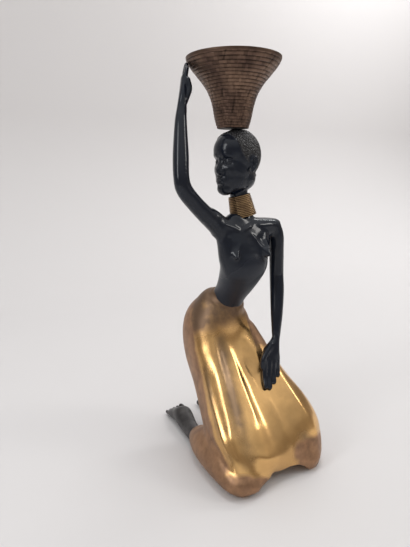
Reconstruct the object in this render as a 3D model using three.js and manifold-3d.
// Kneeling woman with a basket on her head, cast in brass, about 60 cm tall.
// Lengths are millimetres. +X is her left, -Y is her front, +Z is up.
// The stations below are measured from a point on the floor midway between her knees.

import * as THREE from 'three';
import { mergeVertices } from 'three/addons/utils/BufferGeometryUtils.js';
import Module from 'manifold-3d';

const wasm = await Module();
wasm.setup();

// Clearance left between neighbouring castings

const GAP = 0.3;

// Basket

const RIM_CENTRE = new THREE.Vector3(-11, 114, 601);
const RIM_RADIUS = 67.5;
const BASKET_HEIGHT = 95;
const BASKET_FOOT_RADIUS = 22.5;
const BASKET_WALL = 3.6;
const BASKET_SIDES = 32;

// Neck rings

const RING_COUNT = 13;
const RING_PITCH = 2.45;
const RING_RADIUS = 1.3;
const RINGS_TOP_RADIUS = 16.6;
const RINGS_FOOT_RADIUS = 18.8;
const RINGS_SIDES = 18;
const NECK_FOOT = new THREE.Vector3(3, 102, 381);
const NECK_TOP = new THREE.Vector3(-6, 106, 420);

// Head

const HEAD_CENTRE = new THREE.Vector3(-8.5, 108, 458);
const HEAD_TURN = THREE.MathUtils.degToRad(-78);
const HEAD_LENGTH = 75;
const HEAD_WIDTH = 62;
const HEAD_HEIGHT = 94;
const BOSS_RADIUS = 7.5;

const FORWARD = new THREE.Vector3(0, -1, 0);
const UP = new THREE.Vector3(0, 0, 1);

// Closed solid from a three.js geometry

function solid(geometry) {
  const bare = geometry.clone();
  bare.deleteAttribute('uv');
  bare.deleteAttribute('normal');
  const merged = mergeVertices(bare, 1e-3);
  const index = merged.index.array;
  const kept = [];
  for (let i = 0; i < index.length; i += 3) {
    const [a, b, c] = [index[i], index[i + 1], index[i + 2]];
    if (a !== b && b !== c && c !== a) {
      kept.push(a, b, c);
    }
  }
  return new wasm.Manifold(new wasm.Mesh({
    numProp: 3,
    vertProperties: new Float32Array(merged.attributes.position.array),
    triVerts: new Uint32Array(kept),
  }));
}

function union(solids) {
  return solids.reduce((sum, one) => sum.add(one));
}

// Point on a unit section: round at power 2, squarer above

function onSection(angle, power) {
  const c = Math.cos(angle);
  const s = Math.sin(angle);
  const r = (Math.abs(c) ** power + Math.abs(s) ** power) ** (-1 / power);
  return [c * r, s * r];
}

// Smooth body through oval sections. A station is [x, y, z, half width, half depth in front,
// half depth behind]. The front is the side that the vector "front" points to.

function loft(stations, { around = 16, rows = 12, power = 2, front = FORWARD, grow = 0, mould } = {}) {
  const centres = new THREE.CatmullRomCurve3(
    stations.map((s) => new THREE.Vector3(s[0], s[1], s[2])), false, 'catmullrom', 0.5);
  const sizes = new THREE.CatmullRomCurve3(
    stations.map((s) => new THREE.Vector3(s[3], s[4] ?? s[3], s[5] ?? s[4] ?? s[3])),
    false, 'catmullrom', 0.5);
  const geometry = new THREE.CylinderGeometry(1, 1, 1, around, rows);
  const place = geometry.attributes.position;
  for (let i = 0; i < place.count; i += 1) {
    const along = Math.min(Math.max(0.5 - place.getY(i), 0), 1);
    const onAxis = Math.hypot(place.getX(i), place.getZ(i)) < 0.5;
    const point = centres.getPoint(along);
    if (!onAxis) {
      const size = sizes.getPoint(along);
      const tangent = centres.getTangent(along);
      const depth = front.clone().addScaledVector(tangent, -front.dot(tangent)).normalize();
      const side = depth.clone().cross(tangent);
      const angle = Math.atan2(place.getZ(i), place.getX(i));
      const [across, out] = onSection(angle, power);
      let u = across * (size.x + grow);
      let v = out * ((out > 0 ? size.y : size.z) + grow);
      if (mould) {
        [u, v] = mould(u, v, along, size);
      }
      point.addScaledVector(side, u).addScaledVector(depth, v);
    }
    place.setXYZ(i, point.x, point.y, point.z);
  }
  return solid(geometry);
}

// Ball pulled to an oval

function oval(centre, radii, around = 16, rows = 10) {
  const geometry = new THREE.SphereGeometry(1, around, rows);
  geometry.rotateX(Math.PI / 2);
  geometry.scale(radii.x, radii.y, radii.z);
  geometry.translate(centre.x, centre.y, centre.z);
  return solid(geometry);
}

// Skirt: hips and thighs under one tight wrap, knees together on the floor line

const SKIRT = [
  [-6, 130, 250, 29, 26, 26],
  [-7, 135, 243, 34, 29, 29],
  [-11, 142, 230, 43, 34, 46],
  [-13, 144, 203, 54, 39, 64],
  [-10, 135, 172, 61, 43, 66],
  [-3.5, 112, 134, 67.5, 48, 60],
  [2, 83, 96, 78, 52, 56],
  [7.5, 51, 58, 90, 54, 54],
  [9.5, 29, 26, 90, 48, 45],
  [3, 17, 3, 77, 33, 33],
];

function drape(u, v, along, size) {
  const hips = THREE.MathUtils.smoothstep(along, 0.3, 0.62);
  const hem = THREE.MathUtils.smoothstep(along, 0.75, 1);
  const dip = (13 * hips - 7 * hem) * Math.exp(-((u / (0.42 * size.x)) ** 2));
  return [u, v > 0 ? v - dip * Math.min(v / size.y, 1) : v + 0.8 * dip * Math.min(-v / size.z, 1)];
}

const skirtBody = loft(SKIRT, { around: 34, rows: 17, power: 2.8, mould: drape });
const skirtGrown = loft(SKIRT, { around: 34, rows: 17, power: 2.8, mould: drape, grow: GAP });

// Arch in the front hem between the knees, so that the casting rests on knees, shins and feet

const arch = loft([
  [14, -60, -4, 34, 13, 4],
  [6, 40, -4, 34, 15, 4],
  [0, 160, -4, 30, 16, 4],
], { around: 16, rows: 2, front: UP });

const CALF_RIGHT = [
  [-60, -19, 16, 8, 8, 8],
  [-60.5, -13, 17, 18, 16, 16],
  [-62, 1, 20, 26, 23, 22],
  [-63, 24, 23, 28.5, 28, 26],
  [-63, 58, 24, 28.5, 32, 27],
  [-62, 90, 24, 27, 31, 27],
  [-60, 118, 21, 22, 24, 23],
  [-57.5, 139, 16, 15.5, 15.5, 15.5],
];

const CALF_LEFT = CALF_RIGHT.map(([x, y, ...rest]) => [-x - 3 - 0.15 * Math.max(y, 0), y + 4, ...rest]);

const calfRight = loft(CALF_RIGHT, { around: 14, rows: 10, front: UP });
const calfLeft = loft(CALF_LEFT, { around: 14, rows: 10, front: UP });

// Feet: instep on the floor, sole up, toes in a row at the far end

function footStations(ankleX, toeX, toeY) {
  const at = (share) => ankleX + (toeX - ankleX) * share;
  return [
    [ankleX, 128, 15, 13, 13, 13],
    [at(0.12), 150, 14, 13.6, 12.5, 12],
    [at(0.3), 172, 13.5, 14.4, 12, 12],
    [at(0.5), 192, 15, 15.8, 14, 14],
    [at(0.66), 208, 16, 17, 17, 15],
    [at(0.8), 224, 12.5, 18, 12, 12],
    [at(0.92), toeY - 20, 9, 19, 8, 10],
    [toeX, toeY - 8, 7, 18, 6, 7.5],
  ];
}

function toe(x, y, length, radius) {
  return loft([
    [x, y - length, 6.5, radius * 0.9, radius * 0.9],
    [x, y - length * 0.4, 6.2, radius, radius],
    [x, y - 2, 5.6, radius * 0.9, radius * 0.95],
    [x, y, 5.2, radius * 0.5, radius * 0.5],
  ], { around: 6, rows: 2, front: UP });
}

function foot(ankleX, toeX, toeY, inward) {
  const toes = [0, 1, 2, 3, 4].map((n) => {
    const across = (2 - n) * 7.6 * inward;
    return toe(toeX + across, toeY - 1.6 * n, 16, n === 0 ? 4.8 : 3.9);
  });
  return union([loft(footStations(ankleX, toeX, toeY), { around: 12, rows: 9, front: UP }), ...toes]);
}

const FOOT_RIGHT = [-59.5, -44.5, 262];
const FOOT_LEFT = [34, 24, 258];
const footRight = foot(...FOOT_RIGHT, 1);
const footLeft = foot(...FOOT_LEFT, -1);

// Sockets for the ankles in the ends of the shins

function ankleSocket(place) {
  const grown = loft(footStations(...place), { around: 12, rows: 9, front: UP, grow: GAP });
  return grown.add(grown.translate([0, -2 * GAP, 0]));
}

// Floor cut: everything below Z = 0 goes

const floorBox = solid(new THREE.BoxGeometry(900, 900, 200).translate(0, 100, -100));

// Torso from the foot of the neck down to the waist

const TORSO = [
  [1, 99, 376, 17, 11, 12],
  [-2, 97, 370, 34, 14, 16],
  [-2, 95, 360, 46, 18, 20],
  [-3, 92, 345, 45.5, 20.5, 24],
  [-5, 89.5, 328, 41, 23.5, 26],
  [-5, 89, 311, 38, 27.5, 27],
  [-5, 95.5, 297, 34.5, 26, 26],
  [-5.5, 106, 280, 30, 23.5, 25],
  [-6, 119, 263, 25.5, 22, 24],
  [-6.5, 129, 250, 24.5, 22.5, 24],
  [-7, 137, 238, 24, 22, 23],
];

const torso = loft(TORSO, { around: 20, rows: 15, power: 2.2 });
const torsoGrown = loft(TORSO, { around: 20, rows: 15, power: 2.2, grow: GAP });
const torsoSocket = torsoGrown.add(torsoGrown.translate([0, 1.2 * GAP, -1.6 * GAP]));

// Shoulders: a level yoke from arm to arm

const yoke = loft([
  [61, 94, 363, 8, 8, 9],
  [54, 94, 364.5, 12.5, 11.5, 14],
  [36, 95, 366, 15, 12, 16],
  [4, 98, 367, 17, 12.5, 18],
  [-30, 97, 366, 17, 12.5, 18],
  [-52, 95, 368, 14, 12, 16],
], { around: 12, rows: 7, front: UP });

function breast(x, tipX, tipY, z) {
  return loft([
    [tipX, tipY, z, 1.6, 1.6, 1.6],
    [tipX * 0.97 + x * 0.03, tipY + 3, z, 4.2, 4.6, 3.6],
    [tipX * 0.6 + x * 0.4, tipY + 11, z + 1, 9.5, 13, 8],
    [x, tipY + 24, z + 3, 15, 24, 12],
  ], { around: 10, rows: 5, front: UP });
}

const breasts = [breast(17, 20.5, 57, 327), breast(-26, -32, 63, 326)];

// Arms

const ARM_LEFT = [
  [38, 94, 368, 9, 13, 13],
  [50, 94, 364, 11.5, 13, 13],
  [57, 93, 350, 12, 12.5, 12.5],
  [58.5, 92, 325, 11.6, 11.5, 11.5],
  [59.5, 91, 288, 11.2, 10.8, 10.8],
  [57.5, 86, 262, 11.2, 11, 11],
  [50.5, 76, 225, 9.4, 9.4, 9.4],
  [44, 68, 193, 6.6, 6.2, 6.2],
  [39.5, 64.5, 182, 9, 5.6, 5.6],
];

const ARM_RIGHT = [
  [-80.5, 132, 572, 4.2, 10, 10],
  [-83.5, 128, 560, 4.9, 10.6, 10.6],
  [-88, 121, 547, 5.6, 9, 9],
  [-92.5, 115, 531, 6.8, 6.2, 6.2],
  [-97.5, 109, 510, 8.6, 8.6, 8.6],
  [-103, 99, 468, 11, 11.4, 11.4],
  [-106, 92, 438, 11, 11.2, 11.2],
  [-102, 90.5, 421, 11.6, 11.6, 11.6],
  [-85, 92, 402, 11.8, 12.2, 12.2],
  [-60, 95, 378, 13.5, 16, 16],
  [-42, 96, 360, 16, 22, 20],
];

const armLeft = loft(ARM_LEFT, { around: 10, rows: 16 });
const armRight = loft(ARM_RIGHT, { around: 10, rows: 20, front: new THREE.Vector3(-0.35, -0.9, 0.3) });

// Hands: a flat palm, four fingers and a thumb

function finger(points, radius) {
  const last = points.length - 1;
  return loft(points.map((p, n) => [...p, radius * (n === last ? 0.55 : 1 - 0.12 * n)]),
    { around: 6, rows: 3, front: new THREE.Vector3(-0.5, -0.87, 0.1) });
}

const palmLeft = loft([
  [43, 67, 192, 6.4, 6, 6],
  [36.5, 64, 181, 11, 6, 6],
  [31.5, 61.5, 170, 15.4, 5.6, 5.6],
  [29, 59.5, 158, 16.6, 5, 5],
  [28, 58, 148, 14.6, 4, 4],
], { around: 10, rows: 5, front: new THREE.Vector3(-0.3, -0.87, 0.4) });

const fingersLeft = [
  finger([[26, 60, 181], [14, 56, 167], [12, 52, 149]], 4.8),
  finger([[17, 57, 156], [15, 54.6, 142], [13, 52, 128]], 4.4),
  finger([[25, 58.5, 154], [22.6, 56.5, 136], [20, 54, 118]], 4.6),
  finger([[33, 60.5, 153], [31.8, 58.5, 136], [30, 56, 120]], 4.4),
  finger([[41, 62.5, 154], [41, 61.5, 142], [40, 60, 130]], 4),
];

const handLeft = union([palmLeft, ...fingersLeft]).subtract(skirtGrown);

const fingersRight = [
  finger([[-84, 122.5, 566], [-80.5, 125.5, 577], [-76, 130, 587]], 3.5),
  finger([[-82, 129, 567], [-78.5, 132.5, 580], [-73.5, 137, 592]], 3.6),
  finger([[-79.5, 135, 567], [-75.5, 139, 580], [-70.8, 143.5, 592]], 3.6),
  finger([[-76.5, 140, 564], [-72.5, 144.5, 576], [-67.4, 149.5, 588]], 3.3),
  finger([[-86, 116, 541], [-79.5, 117, 555], [-80, 120.5, 570]], 3.9),
];

// Head with a cap of short hair, a small knob at the nape and a boss that carries the basket

function headSolid() {
  const geometry = new THREE.SphereGeometry(1, 24, 16);
  geometry.rotateX(Math.PI / 2);
  const place = geometry.attributes.position;
  for (let i = 0; i < place.count; i += 1) {
    const x = place.getX(i);
    const y = place.getY(i);
    const z = place.getZ(i);
    const low = Math.max(0, -z);
    const narrow = 1 - 0.3 * low ** 1.6;
    const back = y > 0 ? 1 - 0.32 * low : 1 + 0.05 * low;
    const jaw = -0.1 * low;
    place.setXYZ(i, x * narrow * HEAD_WIDTH / 2, (y * back + jaw) * HEAD_LENGTH / 2, z * HEAD_HEIGHT / 2);
  }
  const skull = solid(geometry);
  const nose = loft([
    [0, -33.5, 4, 2.6, 2.4, 3],
    [0, -36.5, -6, 4, 3.4, 3],
    [0, -38, -12, 6.4, 3.6, 4],
    [0, -35, -15.5, 5, 1.6, 4],
  ], { around: 6, rows: 4 });
  const lips = oval(new THREE.Vector3(0, -32.4, -22), new THREE.Vector3(9, 5.4, 4.6), 8, 5);
  const chin = oval(new THREE.Vector3(0, -27, -35), new THREE.Vector3(9, 7, 7), 8, 5);
  const ears = [-1, 1].map((s) => loft([
    [s * 28, 4, 6, 2, 3, 4],
    [s * 30, 4.6, 1, 2.6, 4.4, 5],
    [s * 29, 4, -7, 2.4, 4, 4.2],
    [s * 26.6, 2.4, -13, 2, 2.6, 2.6],
  ], { around: 6, rows: 3 }));
  return union([skull, nose, lips, chin, ...ears]);
}

const turned = THREE.MathUtils.radToDeg(HEAD_TURN);
const head = headSolid().rotate([0, 0, turned]).translate(HEAD_CENTRE.toArray());
const headTop = HEAD_CENTRE.z + HEAD_HEIGHT / 2;
const basketFoot = RIM_CENTRE.z - BASKET_HEIGHT;
const boss = loft([
  [HEAD_CENTRE.x, HEAD_CENTRE.y, basketFoot - GAP, BOSS_RADIUS],
  [HEAD_CENTRE.x, HEAD_CENTRE.y, headTop - 8, BOSS_RADIUS + 1],
], { around: 20, rows: 1 });
const knob = oval(new THREE.Vector3(11, 118, 426), new THREE.Vector3(4, 4, 3.4), 8, 6);

const neck = loft([
  [NECK_TOP.x - 2, NECK_TOP.y + 1, NECK_TOP.z + 14, 15, 16, 16],
  [NECK_TOP.x, NECK_TOP.y, NECK_TOP.z, 14, 14.5, 14.5],
  [NECK_FOOT.x, NECK_FOOT.y, NECK_FOOT.z + 4, 15, 15, 15],
  [NECK_FOOT.x, NECK_FOOT.y - 1, NECK_FOOT.z - 14, 18, 16, 16],
], { around: 18, rows: 3 });

// Basket: hollow flare standing on the boss

function basketProfile(grow) {
  const wall = [
    [0, BASKET_FOOT_RADIUS], [0.15, 26.6], [0.3, 29.2], [0.42, 32.4], [0.54, 37.4],
    [0.66, 45], [0.78, 54.6], [0.88, 62.2], [0.96, RIM_RADIUS - 0.8],
  ];
  const outer = wall.map(([share, r]) => new THREE.Vector2(r + grow, share * BASKET_HEIGHT));
  outer[0].y -= grow;
  outer.unshift(new THREE.Vector2(0, -grow));
  outer.push(new THREE.Vector2(RIM_RADIUS + grow, BASKET_HEIGHT * 0.965));
  outer.push(new THREE.Vector2(RIM_RADIUS + grow, BASKET_HEIGHT + grow));
  if (grow > 0) {
    outer.push(new THREE.Vector2(0, BASKET_HEIGHT + grow));
    return outer;
  }
  const inner = wall.filter((_, n) => n % 2 === 0)
    .map(([share, r]) => new THREE.Vector2(r - BASKET_WALL, share * BASKET_HEIGHT));
  inner[0].y = BASKET_WALL;
  inner.push(new THREE.Vector2(RIM_RADIUS - BASKET_WALL - 1.4, BASKET_HEIGHT));
  return [...outer, ...inner.reverse(), new THREE.Vector2(0, BASKET_WALL)];
}

function turnedSolid(points, sides) {
  const geometry = new THREE.LatheGeometry(points, sides);
  geometry.rotateX(Math.PI / 2);
  return solid(geometry);
}

const basketPlace = [RIM_CENTRE.x, RIM_CENTRE.y, basketFoot];
const basket = turnedSolid(basketProfile(0), BASKET_SIDES).translate(basketPlace);
const basketGrown = turnedSolid(basketProfile(GAP), BASKET_SIDES).translate(basketPlace);

// Neck rings: one ribbed sleeve

function ringProfile() {
  const points = [];
  const height = RING_COUNT * RING_PITCH;
  for (let n = 0; n < RING_COUNT; n += 1) {
    const share = (n + 0.5) / RING_COUNT;
    const r = RINGS_FOOT_RADIUS + (RINGS_TOP_RADIUS - RINGS_FOOT_RADIUS) * share;
    const z = n * RING_PITCH;
    points.push(new THREE.Vector2(r - RING_RADIUS, z + 0.15));
    points.push(new THREE.Vector2(r, z + RING_PITCH * 0.5));
  }
  points.push(new THREE.Vector2(RINGS_TOP_RADIUS - RING_RADIUS, height));
  points.push(new THREE.Vector2(RINGS_TOP_RADIUS - RING_RADIUS - 1.2, height));
  points.push(new THREE.Vector2(RINGS_FOOT_RADIUS - RING_RADIUS - 1.2, 0.15));
  points.push(points[0].clone());
  return points;
}

const RINGS_HEIGHT = RING_COUNT * RING_PITCH;

const sleeveRoom = [
  new THREE.Vector2(RINGS_FOOT_RADIUS - RING_RADIUS - 1.2 - GAP, -GAP),
  new THREE.Vector2(RINGS_FOOT_RADIUS + GAP, -GAP),
  new THREE.Vector2(RINGS_TOP_RADIUS + GAP, RINGS_HEIGHT + GAP),
  new THREE.Vector2(RINGS_TOP_RADIUS - RING_RADIUS - 1.2 - GAP, RINGS_HEIGHT + GAP),
  new THREE.Vector2(RINGS_FOOT_RADIUS - RING_RADIUS - 1.2 - GAP, -GAP),
];

const neckLine = NECK_TOP.clone().sub(NECK_FOOT);
const neckTilt = new THREE.Quaternion().setFromUnitVectors(UP, neckLine.clone().normalize());
const neckAngles = new THREE.Euler().setFromQuaternion(neckTilt, 'ZYX');
const neckDegrees = [neckAngles.x, neckAngles.y, neckAngles.z].map(THREE.MathUtils.radToDeg);

function onNeck(shape) {
  return shape.rotate(neckDegrees).translate(NECK_FOOT.toArray());
}

const rings = onNeck(turnedSolid(ringProfile(), RINGS_SIDES));
const ringsGrown = onNeck(turnedSolid(sleeveRoom, RINGS_SIDES));

// Castings joined, seated in one another and trimmed to the floor

const feet = {
  right: footRight.subtract(floorBox),
  left: footLeft.subtract(floorBox),
};

const skirt = union([skirtBody, calfRight, calfLeft])
  .subtract(arch)
  .subtract(torsoSocket)
  .subtract(ankleSocket(FOOT_RIGHT))
  .subtract(ankleSocket(FOOT_LEFT))
  .subtract(floorBox);

const figure = union([torso, yoke, ...breasts, armLeft, handLeft, armRight, ...fingersRight,
  neck, head, knob, boss])
  .subtract(basketGrown)
  .subtract(ringsGrown);

// Named meshes in one group, its foot at the origin

function mesh(name, shape, color, roughness, metalness) {
  const { vertProperties, triVerts } = shape.getMesh();
  const geometry = new THREE.BufferGeometry();
  geometry.setAttribute('position', new THREE.BufferAttribute(new Float32Array(vertProperties), 3));
  geometry.setIndex(new THREE.BufferAttribute(new Uint32Array(triVerts), 1));
  geometry.computeVertexNormals();
  const one = new THREE.Mesh(geometry, new THREE.MeshStandardMaterial({ color, roughness, metalness }));
  one.name = name;
  return one;
}

const statue = new THREE.Group();
statue.name = 'bronze_woman_with_basket';
statue.add(
  mesh('skirt', skirt, 0xb08a45, 0.25, 1),
  mesh('upper_body', figure, 0x17181b, 0.3, 0.8),
  mesh('foot_right', feet.right, 0x1c1c1f, 0.4, 0.7),
  mesh('foot_left', feet.left, 0x1c1c1f, 0.4, 0.7),
  mesh('neck_rings', rings, 0x8a6a38, 0.35, 1),
  mesh('basket', basket, 0x5e4832, 0.5, 0.8),
);

const bounds = new THREE.Box3().setFromObject(statue);
const middle = bounds.getCenter(new THREE.Vector3());
statue.position.set(-middle.x, -middle.y, -bounds.min.z);

export default statue;
